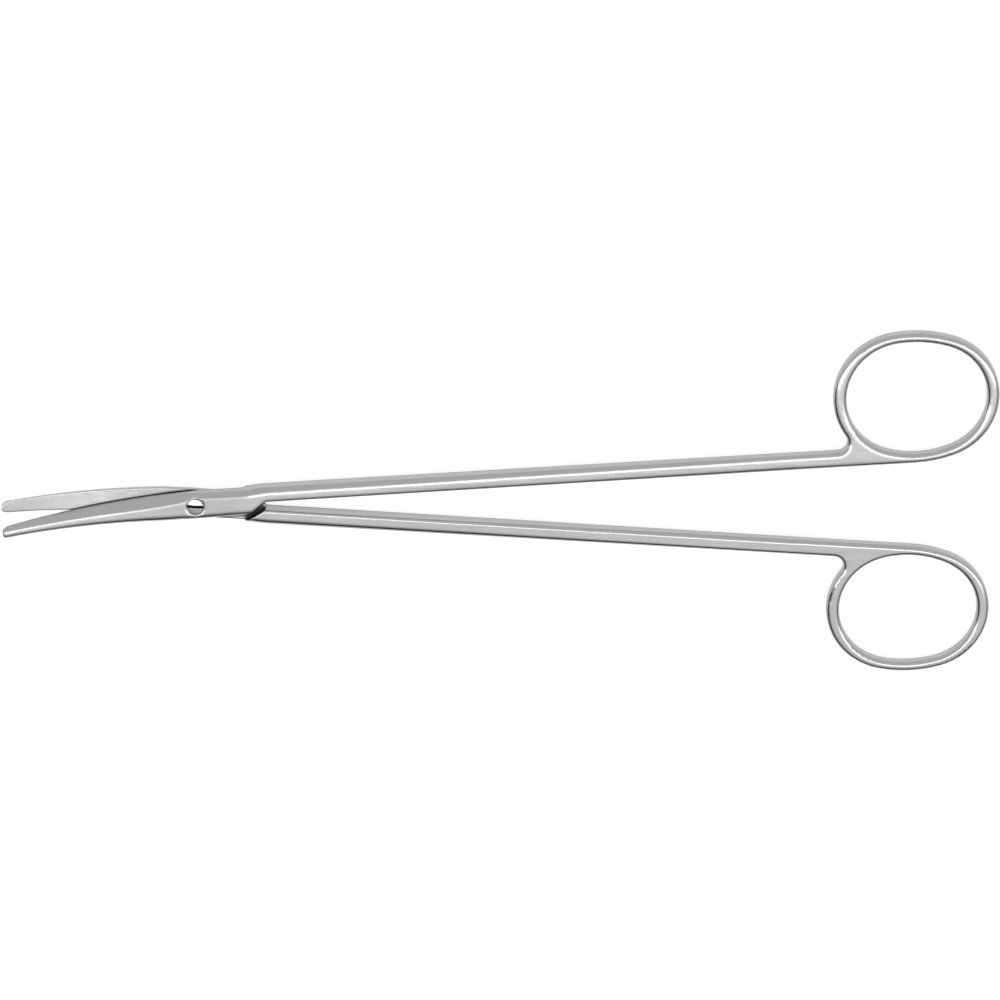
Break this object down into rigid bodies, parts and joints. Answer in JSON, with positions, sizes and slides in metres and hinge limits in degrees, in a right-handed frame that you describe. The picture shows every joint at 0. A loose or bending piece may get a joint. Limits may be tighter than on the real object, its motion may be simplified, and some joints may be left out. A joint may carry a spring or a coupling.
{
  "type": "dissecting scissors",
  "caption": "Long slim surgical scissors with curved blunt-tipped blades, a lap joint turning on a slotted screw, and oval finger rings.",
  "frame": {"origin": "pivot axis where it meets the flat back of the joint", "axes": "+X from the pivot towards the finger rings, midway between the two halves as they lie; +Y towards the front half's ring; +Z along the pivot axis towards the screw's slotted head"},
  "size_m": [0.2263, 0.0842, 0.0128],
  "materials": {
    "halves": "satin ground stainless steel",
    "screw": "fine ground stainless steel"
  },
  "bodies": {
    "rear": {"rear_half": "halves", "pivot_screw": "screw"},
    "front": {"front_half": "halves"}
  },
  "joints": [
    {"name": "pivot", "type": "hinge", "parent": "rear", "child": "front", "pos_m": [0, 0, 0.0022], "axis": [0, 0, 1], "range_deg": [-6.5, 40]}
  ]
}
